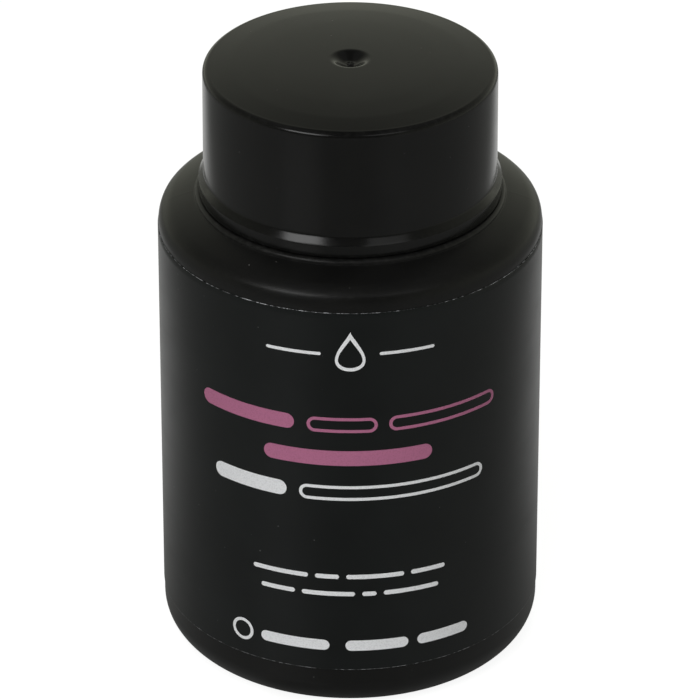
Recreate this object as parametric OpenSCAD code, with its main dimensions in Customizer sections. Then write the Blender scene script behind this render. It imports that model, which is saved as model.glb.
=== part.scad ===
// Round jar with a screw cap, a wrap-round label and a foam plug that has a finger well.
// Millimetres, +Z up. The origin is the centre of the ring that the jar stands on,
// and the front of the label faces -Y. Each turned piece is one profile of (radius, height) points.

/* [Jar body] */
// Outside diameter of the straight wall
body_d = 47.8; // [46:0.2:56]
// Height of the shoulder, where the ring round the neck stands on it
shoulder_h = 61.5; // [50:0.1:80]
// Thickness of the side wall and the shoulder
wall_t = 1.2; // [0.8:0.1:1.8]
// Thickness of the floor
floor_t = 1.6; // [1:0.1:2.4]
// Outside radius of the corner between wall and base
base_corner_r = 4.2; // [3:0.1:6]
// Width of the flat ring that the jar stands on
stand_w = 1.8; // [1:0.1:3]
// Rise of the base in the middle of that ring
push_up_h = 1.0; // [0.4:0.1:2]
// Outside radius of the corner between wall and shoulder
shoulder_corner_r = 3; // [2:0.1:5]
// Slope of the shoulder where that corner ends, in degrees from level
shoulder_outer_slope = 23.2; // [20:0.2:40]
// Slope of the shoulder at the ring round the neck, in degrees from level
shoulder_inner_slope = 15; // [5:0.5:18]

/* [Neck] */
// Height of the neck rim above the ring that the cap sits over
neck_h = 14.1; // [11:0.1:18]
// Outside diameter over the screw thread
thread_d = 32.6; // [31:0.1:33.4]
// Depth of the thread, from its crest to the neck wall
thread_depth = 1.2; // [0.8:0.1:1.4]
// Bore of the neck
bore_d = 26.4; // [22:0.2:27]
// Radius of the edge where the bore opens into the body
bore_foot_r = 0.8; // [0.3:0.1:1.2]
// Radius on the two edges of the neck rim
rim_round = 0.35; // [0.1:0.05:0.6]
// Radius at the foot of the neck
neck_foot_r = 0.6; // [0.3:0.1:1.2]

/* [Ring under the cap] */
// Height of the ring above the shoulder
ring_h = 0.55; // [0.5:0.05:1.2]
// How far the ring stands out past the foot of the cap
ring_show = 0.5; // [0.2:0.05:0.6]
// Width of the ring
ring_w = 1.5; // [1:0.1:2]
// Radius on the outer edge of the ring
ring_round = 0.5; // [0.2:0.05:0.5]

/* [Cap] */
// Thickness of the cap's wall at the foot, behind the thread
cap_wall_t = 1.7; // [1.3:0.1:1.8]
// Thickness of the cap's top
cap_top_t = 1.75; // [1.5:0.05:2.6]
// Lean of the outside wall, in degrees
cap_draft = 0.2; // [0:0.1:1.5]
// Rise of the slightly domed top
cap_crown = 1.0; // [0.2:0.1:1.5]
// Radius of the top edge
cap_edge_r = 0.7; // [0.2:0.05:1]
// Gap between the thread of the neck and the cap's inner wall
thread_clearance = 0.25; // [0.15:0.05:0.4]
// Gap between the foot of the cap and the ring on the jar
foot_gap = 0.3; // [0.2:0.05:0.6]
// Reach of the foot flange past the wall
flange_reach = 0.6; // [0.3:0.05:0.8]
// Height of the flange's straight band
flange_band_h = 1.5; // [0.8:0.05:2.5]
// Height of the slope from the wall down to the band
flange_slope_h = 0.9; // [0.4:0.05:1.5]
// Chamfer at the mouth of the cap
mouth_chamfer = 0.5; // [0.2:0.1:0.8]

/* [Gate dimple] */
// Diameter of the dimple in the middle of the cap's top, over its soft rim
dimple_d = 5.7; // [3:0.1:7]
// Depth of the dimple
dimple_h = 0.8; // [0.4:0.05:1]
// Diameter of the gate mark left in it
gate_d = 1.1; // [0.6:0.1:1.6]
// Height of the gate mark
gate_h = 0.3; // [0.2:0.05:0.6]

/* [Cap liner] */
// Thickness of the liner
liner_t = 1.0; // [0.6:0.1:1.5]
// Width of the flat seat that the liner rests on, round the domed middle
liner_seat_w = 3.3; // [2:0.1:5]
// Gap round the liner
liner_clearance = 0.15; // [0.1:0.05:0.3]
// Reach of the bead that holds the liner in the cap
bead_reach = 0.35; // [0.2:0.05:0.4]
// Height of that bead
bead_h = 0.7; // [0.4:0.1:1]

/* [Label] */
// Thickness of the label film
label_t = 0.08; // [0.06:0.01:0.2]
// Bare wall between the base corner and the label
label_foot_margin = 2; // [0.5:0.1:6]
// Bare wall between the label and the rounded shoulder
label_head_margin = 0.4; // [0:0.1:4]
// Gap between the label's two ends, at the back
label_seam_w = 1.2; // [0.4:0.1:3]
// Film of glue behind the label
glue_t = 0.02; // [0.01:0.01:0.03]

/* [Foam plug] */
// Gap between the foam and the inside of the jar
foam_clearance = 0.4; // [0.3:0.1:1.2]
// Space between the top of the foam and the underside of the shoulder
foam_headroom = 2.7; // [1.5:0.1:8]
// Radius of the foam's top edge
foam_edge_r = 2.5; // [1:0.1:4]
// Diameter of the finger well
well_d = 15; // [12:0.5:18]
// Depth of the finger well
well_depth = 38; // [20:1:42]
// Radius at the mouth of the well
well_mouth_r = 1.5; // [0.5:0.1:2.5]
// Radius at the bottom of the well
well_foot_r = 4; // [2:0.5:5.5]

/* [Hidden] */

round_fn = 180;
arc_steps = 10;
pass = 1; // how far a cutter runs on past the face that it opens

// Jar
body_r = body_d / 2;
stand_r = body_r - base_corner_r;
inner_r = body_r - wall_t;
floor_corner_r = base_corner_r - wall_t;
shoulder_under_z = shoulder_h - wall_t * cos(shoulder_inner_slope);

// Neck
thread_r = thread_d / 2;
neck_r = thread_r - thread_depth;
bore_r = bore_d / 2;
ring_top_z = shoulder_h + ring_h;
rim_z = ring_top_z + neck_h;
rim_edge_r = min(rim_round, (neck_r - bore_r) / 3);

// Cap
cap_inner_r = thread_r + thread_clearance;
cap_foot_r = cap_inner_r + cap_wall_t;
flange_r = cap_foot_r + flange_reach;
cap_foot_z = ring_top_z + foot_gap;
flange_band_z = cap_foot_z + flange_band_h;
flange_slope_z = flange_band_z + flange_slope_h;
liner_top_z = rim_z + liner_t;
cap_top_z = liner_top_z + cap_top_t;
cap_top_r = cap_foot_r - (cap_top_z - flange_slope_z) * tan(cap_draft);
cap_edge_in_r = cap_top_r - cap_edge_r;
cap_seat_in_r = cap_inner_r - liner_seat_w;
dimple_r = dimple_d / 2;
dimple_rim_z = dome_z(cap_edge_in_r, cap_top_z, cap_crown, dimple_r);
dimple_foot_z = dimple_rim_z - dimple_h;

// Ring, and shoulder in two arcs that meet smoothly: the corner off the wall, then a long arc in to the ring
ring_r = flange_r + ring_show;
shoulder_arc_r = (body_r - ring_r - shoulder_corner_r * (1 - sin(shoulder_outer_slope)))
    / (sin(shoulder_outer_slope) - sin(shoulder_inner_slope));
shoulder_arc_in_r = ring_r - shoulder_arc_r * sin(shoulder_inner_slope);
shoulder_arc_z = shoulder_h - shoulder_arc_r * cos(shoulder_inner_slope);
shoulder_corner_z = shoulder_arc_z + (shoulder_arc_r - shoulder_corner_r) * cos(shoulder_outer_slope);

// Label
label_inner_r = body_r + glue_t;
label_foot_z = base_corner_r + label_foot_margin;
label_h = shoulder_corner_z - label_head_margin - label_foot_z;

// Foam
foam_r = inner_r - foam_clearance;
foam_corner_r = floor_corner_r - foam_clearance;
foam_foot_z = floor_t + push_up_h + foam_clearance;
foam_top_z = shoulder_under_z - foam_headroom;
well_r = well_d / 2;
well_foot_z = foam_top_z - well_depth;

// Points along a quarter or part of an ellipse round (r, z), from angle a0 to angle a1
function arc(r, z, rw, rh, a0, a1) =
    [for (i = [0:arc_steps]) let (a = a0 + (a1 - a0) * i / arc_steps)
        [r + rw * cos(a), z + rh * sin(a)]];

// Radius of the ball that a shallow dome is cut from, edge radius r and rise above the edge
function dome_ball_r(r, rise) = (r * r + rise * rise) / (2 * rise);

// Height at radius x of a shallow dome with its edge at (r, z)
function dome_z(r, z, rise, x) =
    let (ball_r = dome_ball_r(r, rise)) z + rise - ball_r + sqrt(ball_r * ball_r - x * x);

// Points of a shallow dome, from its edge (r, z) in to radius x
function dome(r, z, rise, x = 0) =
    [for (i = [0:arc_steps]) let (at = r + (x - r) * i / arc_steps)
        [at, dome_z(r, z, rise, at)]];

// Points of a smooth pit, from its bottom (r0, z) out to its rim at radius r1 and height h above
function pit(r0, r1, z, h) =
    [for (i = [0:arc_steps])
        [r0 + (r1 - r0) * i / arc_steps, z + h * (1 - cos(180 * i / arc_steps)) / 2]];

function reversed(points) = [for (i = [len(points) - 1:-1:0]) points[i]];

// The same points less the first
function after_first(points) = [for (i = [1:len(points) - 1]) points[i]];

// Turns a profile of (radius, height) points about the axis
module turned(profile) {
    rotate_extrude($fn = round_fn) polygon(profile);
}

// Shoulder from the wall in to the ring, on a face that lies t inside the outer one
function shoulder(t) = concat(
    arc(body_r - shoulder_corner_r, shoulder_corner_z, shoulder_corner_r - t, shoulder_corner_r - t,
        0, 90 - shoulder_outer_slope),
    after_first(arc(shoulder_arc_in_r, shoulder_arc_z, shoulder_arc_r - t, shoulder_arc_r - t,
        90 - shoulder_outer_slope, 90 - shoulder_inner_slope)));

// Outside of the jar, from the middle of the base up to the rim
function jar_outside() = concat(
    reversed(dome(stand_r - stand_w, 0, push_up_h)),
    arc(stand_r, base_corner_r, base_corner_r, base_corner_r, -90, 0),
    shoulder(0),
    arc(ring_r - ring_round, ring_top_z - ring_round, ring_round, ring_round, 0, 90),
    [[ring_r - ring_w, ring_top_z], [ring_r - ring_w, shoulder_h]],
    arc(neck_r + neck_foot_r, shoulder_h + neck_foot_r, neck_foot_r, neck_foot_r, -90, -180),
    arc(neck_r - rim_edge_r, rim_z - rim_edge_r, rim_edge_r, rim_edge_r, 0, 90));

// Inside of the jar, from the rim down to the middle of the floor
function jar_inside() = concat(
    arc(bore_r + rim_edge_r, rim_z - rim_edge_r, rim_edge_r, rim_edge_r, 90, 180),
    arc(bore_r + bore_foot_r, shoulder_under_z + bore_foot_r, bore_foot_r, bore_foot_r, 180, 270),
    reversed(shoulder(wall_t)),
    reversed(arc(inner_r - floor_corner_r, floor_t + floor_corner_r,
        floor_corner_r, floor_corner_r, -90, 0)),
    dome(stand_r - stand_w, floor_t, push_up_h));

// Jar in one piece: body, rounded shoulder, ring and neck
module jar() {
    color("#17171a") turned(concat(jar_outside(), jar_inside()));
}

// Printed film round the straight wall, its two ends a narrow gap apart at the back
module label() {
    color("#222427") difference() {
        translate([0, 0, label_foot_z])
            cylinder(h = label_h, r = label_inner_r + label_t, $fn = round_fn);
        translate([0, 0, label_foot_z - pass])
            cylinder(h = label_h + 2 * pass, r = label_inner_r, $fn = round_fn);
        translate([-label_seam_w / 2, 0, label_foot_z - pass])
            cube([label_seam_w, body_d, label_h + 2 * pass]);
    }
}

// Foam plug from the middle of its foot out, over its top and down into the finger well
function foam_outline() = concat(
    [[0, foam_foot_z]],
    arc(foam_r - foam_corner_r, foam_foot_z + foam_corner_r, foam_corner_r, foam_corner_r, -90, 0),
    arc(foam_r - foam_edge_r, foam_top_z - foam_edge_r, foam_edge_r, foam_edge_r, 0, 90),
    arc(well_r + well_mouth_r, foam_top_z - well_mouth_r, well_mouth_r, well_mouth_r, 90, 180),
    reversed(arc(well_r - well_foot_r, well_foot_z + well_foot_r, well_foot_r, well_foot_r, -90, 0)),
    [[0, well_foot_z]]);

// Foam plug with rounded edges and a finger well down its middle
module sponge() {
    color("#efe6d6") turned(foam_outline());
}

// Outside of the cap, from the gate mark out over the top and down to the foot
function cap_outside() = concat(
    [[0, dimple_foot_z + gate_h],
     [gate_d / 2, dimple_foot_z + gate_h]],
    pit(gate_d / 2, dimple_r, dimple_foot_z, dimple_h),
    after_first(reversed(dome(cap_edge_in_r, cap_top_z, cap_crown, dimple_r))),
    after_first(arc(cap_edge_in_r, cap_top_z - cap_edge_r, cap_edge_r, cap_edge_r, 90, 0)),
    [[cap_foot_r, flange_slope_z],
     [flange_r, flange_band_z],
     [flange_r, cap_foot_z]]);

// Inside of the cap, from the mouth up past the liner's bead and seat to the domed top
function cap_inside() = concat(
    [[cap_inner_r + mouth_chamfer, cap_foot_z],
     [cap_inner_r, cap_foot_z + mouth_chamfer],
     [cap_inner_r, rim_z - bead_h],
     [cap_inner_r - bead_reach, rim_z - bead_h / 2],
     [cap_inner_r, rim_z],
     [cap_inner_r, liner_top_z]],
    dome(cap_seat_in_r, liner_top_z, cap_crown));

// One-piece cap with a flanged foot and a gate dimple
module cap() {
    color("#131315") turned(concat(cap_outside(), cap_inside()));
}

// Sealing disc held in the top of the cap
module cap_liner() {
    color("#e9e9e4") translate([0, 0, rim_z])
        cylinder(h = liner_t, r = cap_inner_r - liner_clearance, $fn = round_fn);
}

jar();
label();
sponge();
cap();
cap_liner();
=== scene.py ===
import bpy
import math
import numpy as np
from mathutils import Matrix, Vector


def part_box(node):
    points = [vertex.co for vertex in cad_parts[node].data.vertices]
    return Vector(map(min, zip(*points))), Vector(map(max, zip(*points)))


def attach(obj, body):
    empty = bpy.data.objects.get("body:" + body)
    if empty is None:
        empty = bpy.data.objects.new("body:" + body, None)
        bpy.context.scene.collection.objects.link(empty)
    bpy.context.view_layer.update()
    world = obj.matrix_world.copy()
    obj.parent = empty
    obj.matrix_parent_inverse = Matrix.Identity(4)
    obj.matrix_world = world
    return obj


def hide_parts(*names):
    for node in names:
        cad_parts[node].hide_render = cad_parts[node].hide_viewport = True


# A dip-in jar with a screw cap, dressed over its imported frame.
# Profiles are (radius, height) points in millimetres; every mesh goes out in metres.
# A piece's values are in millimetres and degrees, noise scales are per metre, the studio is in metres.
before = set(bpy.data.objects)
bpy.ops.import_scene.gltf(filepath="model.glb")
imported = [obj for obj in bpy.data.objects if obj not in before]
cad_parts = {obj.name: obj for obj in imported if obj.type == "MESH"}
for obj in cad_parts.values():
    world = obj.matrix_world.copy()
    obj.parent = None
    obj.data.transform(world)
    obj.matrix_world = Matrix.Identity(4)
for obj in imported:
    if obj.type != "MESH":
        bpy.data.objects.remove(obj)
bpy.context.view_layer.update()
mm = 0.001
white = (1, 1, 1, 1)
coarser = 1.6  # steps along a shell's inside, against those along its outside
print("frame loaded:", ", ".join(sorted(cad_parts)))


def nodeBox(node):
    # lowest and highest corner of a CAD node, in millimetres
    low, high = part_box(node)
    return np.array(low) / mm, np.array(high) / mm


# curves and meshes that every piece is made with


def levelLine(u, z):
    # points (u, z), where either may be one number for them all
    return np.column_stack(np.broadcast_arrays(u, z))


def arcPoints(centreR, centreZ, radius, fromDeg, toDeg, steps, radiusZ=None):
    # centre plus (radius cos a, radiusZ sin a), a running evenly between two angles: a circle's arc,
    # or an ellipse's where radiusZ is given
    a = np.radians(np.linspace(fromDeg, toDeg, steps))
    radiusZ = radius if radiusZ is None else radiusZ
    return np.column_stack((centreR + radius * np.cos(a), centreZ + radiusZ * np.sin(a)))


def cornerArc(cornerR, cornerZ, radius, fromDeg, toDeg, steps):
    # a circle's arc that rounds off a square corner: its centre lies one radius in from both walls
    middle = math.radians((fromDeg + toDeg) / 2)
    centreR = cornerR - math.copysign(radius, math.cos(middle))
    centreZ = cornerZ - math.copysign(radius, math.sin(middle))
    return arcPoints(centreR, centreZ, radius, fromDeg, toDeg, steps)


def domePoints(edgeR, edgeZ, rise, fromR, toR, steps=24):
    # ball of radius (edge squared + rise squared) / (2 rise), cut so that it stands rise above its edge
    ballR = (edgeR ** 2 + rise ** 2) / (2 * rise)
    r = np.linspace(fromR, toR, steps)
    return np.column_stack((r, edgeZ + rise - ballR + np.sqrt(ballR ** 2 - r ** 2)))


def joinPath(*parts):
    # the parts one after the other, less any point closer than a micron to the one before
    path = np.vstack([np.atleast_2d(np.asarray(p, float)) for p in parts])
    keep = np.r_[True, np.hypot(*np.diff(path, axis=0).T) > 0.001]
    return path[keep]


def pathLength(path):
    # running sum of the distances between neighbouring points
    return np.r_[0.0, np.cumsum(np.hypot(*np.diff(path, axis=0).T))]


def finePath(path, step):
    # keeps every point and adds one each step along the length, straight between its neighbours,
    # save where it would come closer than nearest to the point before
    nearest = step * 0.15
    s = pathLength(path)
    at = np.unique(np.round(np.r_[s, np.arange(0, s[-1], step)], 4))
    at = at[np.r_[True, np.diff(at) > nearest] | np.isin(at, np.round(s, 4))]
    return np.column_stack((np.interp(at, s, path[:, 0]), np.interp(at, s, path[:, 1])))


def outwardNormals(path):
    # the tangent from the point before to the point after, turned a quarter clockwise
    t = np.gradient(path, axis=0)
    t /= np.maximum(np.hypot(t[:, 0], t[:, 1]), 1e-9)[:, None]
    return np.column_stack((t[:, 1], -t[:, 0]))


def edgeMask(path, spread):
    # left turns of the path, in radians, each spread over its neighbours by a bell of that width
    fullTurn = 1.2  # a turn of so many radians is a whole edge
    across, up = np.diff(path, axis=0).T
    heading = np.unwrap(np.arctan2(up, across))
    turn = np.r_[0.0, np.clip(np.diff(heading), 0, None), 0.0]
    s = pathLength(path)
    bell = np.exp(-((s[:, None] - s[None, :]) / spread) ** 2)
    return np.clip(bell @ turn / fullTurn, 0, 1)


def roundPoints(r, a, z):
    # (r cos a, r sin a, z) over whole grids, row after row
    grid = np.broadcast_arrays(r * np.cos(a), r * np.sin(a), z)
    return np.stack(grid, -1).reshape(-1, 3)


def addObject(name, data):
    # an object at the origin, linked into the scene
    made = bpy.data.objects.new(name, data)
    bpy.context.scene.collection.objects.link(made)
    return made


def meshPiece(name, points, faces, material, floats, sharpDeg=35):
    # points in millimetres and faces as lists of point numbers become one smooth mesh in metres
    mesh = bpy.data.meshes.new(name)
    mesh.from_pydata((np.asarray(points) * mm).tolist(), [], faces)
    mesh.shade_smooth()
    mesh.set_sharp_from_angle(angle=math.radians(sharpDeg))
    for label, values in floats.items():
        layer = mesh.attributes.new(label, "FLOAT", "POINT")
        layer.data.foreach_set("value", np.asarray(values, np.float32).ravel())
    mesh.materials.append(material)
    return addObject(name, mesh)


def gridFaces(rows, columns, closeRows=False, closeColumns=True, first=0):
    # quads between row i and i + 1 and column j and j + 1, numbered row by row
    i = np.arange(rows if closeRows else rows - 1)
    j = np.arange(columns if closeColumns else columns - 1)
    i, j = np.meshgrid(i, j, indexing="ij")
    up, on = (i + 1) % rows, (j + 1) % columns
    quads = np.stack((i * columns + j, i * columns + on, up * columns + on, up * columns + j), -1)
    return (quads.reshape(-1, 4) + first).tolist()


def poleFaces(pole, ring, flip=False):
    # triangles from one point to each pair of neighbours on a ring
    on = np.roll(ring, -1)
    pair = (on, ring) if flip else (ring, on)
    return np.column_stack((np.full(len(ring), pole), *pair)).tolist()


def closedPiece(name, path, r, a, z, lift, material, floats, sharpDeg=35):
    # point (i, j) is (r cos a, r sin a, z) once r and z are moved by lift along the path's normal;
    # the path's two ends, on the axis, close the poles
    n = outwardNormals(path)[1:-1]
    points = roundPoints(r + lift * n[:, :1], a, z + lift * n[:, 1:])
    points = np.vstack((points, [[0, 0, path[end, 1]] for end in (0, -1)]))
    rows, columns = r.shape
    faces = gridFaces(rows, columns)
    faces += poleFaces(rows * columns, np.arange(columns), flip=True)
    faces += poleFaces(rows * columns + 1, (rows - 1) * columns + np.arange(columns))
    return meshPiece(name, points, faces, material, floats, sharpDeg)


def turnedPiece(name, path, material, angles, relief=None, spread=0.35):
    # the path turned round the axis, each point lifted by relief(radius, height, angle)
    r, z = (np.repeat(path[1:-1, k:k + 1], len(angles), axis=1) for k in (0, 1))
    lift = relief(r, z, angles) if relief else 0
    mask = edgeMask(path, spread)
    values = np.r_[np.repeat(mask[1:-1], len(angles)), mask[0], mask[-1]]
    return closedPiece(name, path, r, angles, z, lift, material, {"edge": values})


def evenAngles(count, closeUp=()):
    # count even steps of a full turn, in radians, with a few more beside the angles in closeUp
    gaps = (0, 0.12, 0.3, 0.6)
    extra = [c + side * gap for c in closeUp for gap in gaps for side in (-1, 1)]
    degrees = np.r_[np.arange(count) * 360.0 / count, np.array(extra) % 360]
    degrees = np.unique(np.round(degrees, 3))
    return np.radians(degrees[np.r_[True, np.diff(degrees) > 0.05]])


# short ways to place nodes


def feed(tree, socket, value):
    # another node's output is linked, and a number or colour is set on the socket
    if isinstance(value, bpy.types.NodeSocket):
        tree.links.new(value, socket)
    else:
        socket.default_value = value


def feedAll(tree, node, inputs):
    # each named input of the node fed
    for key, value in inputs.items():
        feed(tree, node.inputs[key], value)
    return node


def addNode(tree, kind, inputs, **settings):
    # a new node with its settings, and its inputs fed
    made = tree.nodes.new(kind)
    for key, value in settings.items():
        setattr(made, key, value)
    return feedAll(tree, made, inputs)


def calc(tree, operation, *values):
    # one math node
    return addNode(tree, "ShaderNodeMath", dict(enumerate(values)), operation=operation).outputs[0]


def times(tree, product, *others):
    # all the values multiplied, first to last
    for value in others:
        product = calc(tree, "MULTIPLY", product, value)
    return product


def plus(tree, total, *others):
    # all the values added, first to last
    for value in others:
        total = calc(tree, "ADD", total, value)
    return total


def softStep(tree, value, low, high, outLow=0.0, outHigh=1.0):
    # outLow up to low, outHigh from high on, and a smooth S between them
    inputs = {"Value": value, "From Min": low, "From Max": high, "To Min": outLow, "To Max": outHigh}
    return addNode(tree, "ShaderNodeMapRange", inputs, interpolation_type="SMOOTHSTEP").outputs[0]


def mixColour(tree, factor, a, b, blend="MIX"):
    # from a, at factor 0, to b, or to a times b
    inputs = {0: factor, 6: a, 7: b}
    return addNode(tree, "ShaderNodeMix", inputs, data_type="RGBA", blend_type=blend).outputs[2]


def noiseAt(tree, vector, scale, detail=2.0, roughness=0.5):
    # cloudy noise from 0 to 1
    inputs = {"Vector": vector, "Scale": scale, "Detail": detail, "Roughness": roughness}
    return addNode(tree, "ShaderNodeTexNoise", inputs).outputs[0]


def moved(tree, vector, turnDeg, stretch):
    # the place scaled by stretch, then turned
    inputs = {"Vector": vector, "Rotation": [math.radians(d) for d in turnDeg], "Scale": stretch}
    return addNode(tree, "ShaderNodeMapping", inputs).outputs[0]


def newGroup(name, inputs, outputs):
    # an empty node group: an input without a value is a vector, and all the rest are numbers
    group = bpy.data.node_groups.new(name, "ShaderNodeTree")
    for label, value in inputs.items():
        kind = "NodeSocketVector" if value is None else "NodeSocketFloat"
        socket = group.interface.new_socket(label, in_out="INPUT", socket_type=kind)
        if value is not None:
            socket.default_value = value
    for label in outputs:
        group.interface.new_socket(label, in_out="OUTPUT", socket_type="NodeSocketFloat")
    return group, group.nodes.new("NodeGroupInput").outputs, group.nodes.new("NodeGroupOutput").inputs


# what the surfaces share: the mould's grain, traces of handling, and wear
marksShape = {
    "peelScale": 420.0,
    # each set of hairlines: turned, stretched, and from where to where its noise shows
    "hairs": [((12, 25, 68), (260, 7000, 7000), 0.70, 0.76), ((80, -30, 15), (300, 8000, 8000), 0.71, 0.77)],
    "patchScale": 110.0, "patchFrom": (0.48, 0.62),
    "speckScale": 900.0, "speckRare": 0.86, "speckR": 0.09,
    "smearTurn": (0, 0, 30), "smearStretch": (60, 60, 140), "smearFrom": (0.42, 0.72),
    "chipScale": 1500.0, "chipFrom": (0.42, 0.68),
}


def makeMouldGrain(s):
    # height: a fine spark grain plus Peel times a slow orange peel
    inputs = {"Vector": None, "Grain": 4000.0, "Peel": 0.5}
    tree, given, result = newGroup("mould grain", inputs, ["Height"])
    grain = noiseAt(tree, given["Vector"], given["Grain"], 3.0)
    peel = noiseAt(tree, given["Vector"], s["peelScale"], 1.0)
    feed(tree, result["Height"], plus(tree, grain, times(tree, peel, given["Peel"])))
    return tree


def makeHandling(s):
    # masks: hairline scratches where patches let them, a round speck in a few cells, and finger smears
    inputs = {"Vector": None, "Scratches": 0.5, "Dust": 0.5, "Smears": 0.5}
    tree, given, result = newGroup("handling", inputs, ["Scratch", "Dust", "Smear"])
    place = given["Vector"]
    hairs = [softStep(tree, noiseAt(tree, moved(tree, place, turn, stretch), 1.0, 1.0), low, high)
             for turn, stretch, low, high in s["hairs"]]
    patches = softStep(tree, noiseAt(tree, place, s["patchScale"]), *s["patchFrom"])
    feed(tree, result["Scratch"], times(tree, calc(tree, "MAXIMUM", *hairs), patches, given["Scratches"]))
    specks = addNode(tree, "ShaderNodeTexVoronoi", {"Vector": place, "Scale": s["speckScale"]}).outputs
    chance = addNode(tree, "ShaderNodeSeparateColor", {0: specks["Color"]}).outputs
    rare = calc(tree, "GREATER_THAN", chance[0], s["speckRare"])
    dot = calc(tree, "LESS_THAN", specks["Distance"], times(tree, chance[1], s["speckR"]))
    feed(tree, result["Dust"], times(tree, dot, rare, given["Dust"]))
    smears = noiseAt(tree, moved(tree, place, s["smearTurn"], s["smearStretch"]), 1.0, 4.0, 0.6)
    feed(tree, result["Smear"], times(tree, softStep(tree, smears, *s["smearFrom"]), given["Smears"]))
    return tree


def makeEdgeWear(s):
    # mask: how much of an edge a place is, broken up by chips of noise
    tree, given, result = newGroup("edge wear", {"Vector": None, "Edge": 0.0, "Amount": 0.5}, ["Wear"])
    chips = softStep(tree, noiseAt(tree, given["Vector"], s["chipScale"], 4.0, 0.65), *s["chipFrom"])
    feed(tree, result["Wear"], times(tree, given["Edge"], chips, given["Amount"]))
    return tree


mouldGrain = makeMouldGrain(marksShape)
handling = makeHandling(marksShape)
edgeWear = makeEdgeWear(marksShape)


def useGroup(tree, group, place, **inputs):
    # a shared group placed in a material, with its own values
    return addNode(tree, "ShaderNodeGroup", {"Vector": place, **inputs}, node_tree=group).outputs


def newMaterial(name, **shaderValues):
    # the material, its nodes, its shader, and the place on the piece that its patterns read
    material = bpy.data.materials.new(name)
    material.use_nodes = True
    tree = material.node_tree
    shader = tree.nodes["Principled BSDF"]
    feedAll(tree, shader, shaderValues)
    place = tree.nodes.new("ShaderNodeTexCoord").outputs["Object"]
    return material, tree, shader, place


def addRelief(tree, shader, height, strength, deep=0.00002, invert=False):
    # the shader's normal leans as on a surface whose height of 1 is deep metres
    inputs = {"Strength": strength, "Distance": deep, "Height": height}
    bump = addNode(tree, "ShaderNodeBump", inputs, invert=invert)
    feed(tree, shader.inputs["Normal"], bump.outputs[0])


def grainHeight(tree, place, finish):
    # the mould's grain in the finish's own size
    return useGroup(tree, mouldGrain, place, Grain=finish["grain"], Peel=finish["peel"])["Height"]


def wearMask(tree, place, attribute, amount):
    # edge wear where one of the piece's own attributes is high
    edge = addNode(tree, "ShaderNodeAttribute", {}, attribute_name=attribute).outputs["Fac"]
    return useGroup(tree, edgeWear, place, Edge=edge, Amount=amount)["Wear"]


def blackBase(tree, place, finish):
    # what the black surfaces start from: traces of handling, a mottled colour, roughness with its smears
    marks = useGroup(tree, handling, place, Scratches=finish["scratches"], Dust=finish["dust"],
                     Smears=finish["smears"])
    mottle = softStep(tree, noiseAt(tree, place, finish["mottleScale"], 3.0), 0.3, 0.7)
    colour = mixColour(tree, mottle, finish["colour"], finish["colourPale"])
    rough = plus(tree, finish["rough"], times(tree, marks["Smear"], finish["smearRough"]))
    return marks, colour, rough


def blackMoulding(name, finish):
    # black plastic: worn edges and dust are paler and rougher, and scratches cut into the mould's grain
    material, tree, shader, place = newMaterial(name, IOR=finish["ior"])
    marks, colour, rough = blackBase(tree, place, finish)
    worn = wearMask(tree, place, "edge", finish["wear"])
    colour = mixColour(tree, worn, colour, finish["wornColour"])
    colour = mixColour(tree, marks["Dust"], colour, finish["dustColour"])
    rough = plus(tree, rough, times(tree, worn, finish["wornRough"]),
                 times(tree, marks["Dust"], finish["dustRough"]))
    feedAll(tree, shader, {"Base Color": colour, "Roughness": rough})
    cuts = times(tree, marks["Scratch"], finish["scratchDepth"])
    height = calc(tree, "SUBTRACT", grainHeight(tree, place, finish), cuts)
    addRelief(tree, shader, height, finish["relief"])
    return material


# the jar: body, shoulder, ring and neck in one moulding
jarFinish = {
    "colour": (0.0030, 0.0030, 0.0029, 1), "colourPale": (0.0042, 0.0042, 0.0040, 1), "mottleScale": 160.0,
    "wornColour": (0.022, 0.022, 0.021, 1), "wornRough": 0.25,
    "dustColour": (0.16, 0.155, 0.15, 1), "dustRough": 0.5,
    "ior": 1.45, "rough": 0.35, "smearRough": 0.05,
    "scratches": 0.6, "dust": 0.35, "smears": 0.6, "wear": 0.35,
    "grain": 5200.0, "peel": 0.9, "relief": 0.3, "scratchDepth": 0.8,
}
jarShape = {
    "wall": 1.2, "floor": 1.6, "baseCorner": 4.2, "standWidth": 1.8, "pushUp": 1.0,
    "lipIn": 0.1, "lipWide": 0.35, "lipHigh": 0.3,
    "shoulderZ": 61.5, "shoulderCorner": 3.0, "outerSlope": 23.2, "innerSlope": 15.0,
    "ridgeAt": 32.0, "ridgeWide": 9.0, "ridgeSharp": 2.35,
    "ringR": 19.35, "ringHigh": 0.6, "ringWide": 1.5, "ringRound": 0.5, "ringInRound": 0.1,
    "ringFoot": [(0.07, -0.015), (0, 0.045)],
    "neckR": 15.1, "boreR": 13.2, "rimRound": 0.35, "neckFoot": 0.6, "boreFoot": 0.8,
    "gateR": 0.9, "gateHigh": 0.3, "gateRound": 0.2, "gateGap": 0.05,
    "notches": 36, "notchDeep": 0.14, "notchWide": 0.16, "notchIn": 0.3, "notchLong": 0.55, "notchTop": 0.6,
    "partingHigh": 0.006, "partingWide": 0.10, "partingFromZ": 1, "partingFade": 3,
    "columns": 288, "step": 2.4,
}
jarLow, jarHigh = nodeBox("jar")
bodyR = (jarHigh[0] - jarLow[0]) / 2
rimZ = jarHigh[2]


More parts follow.
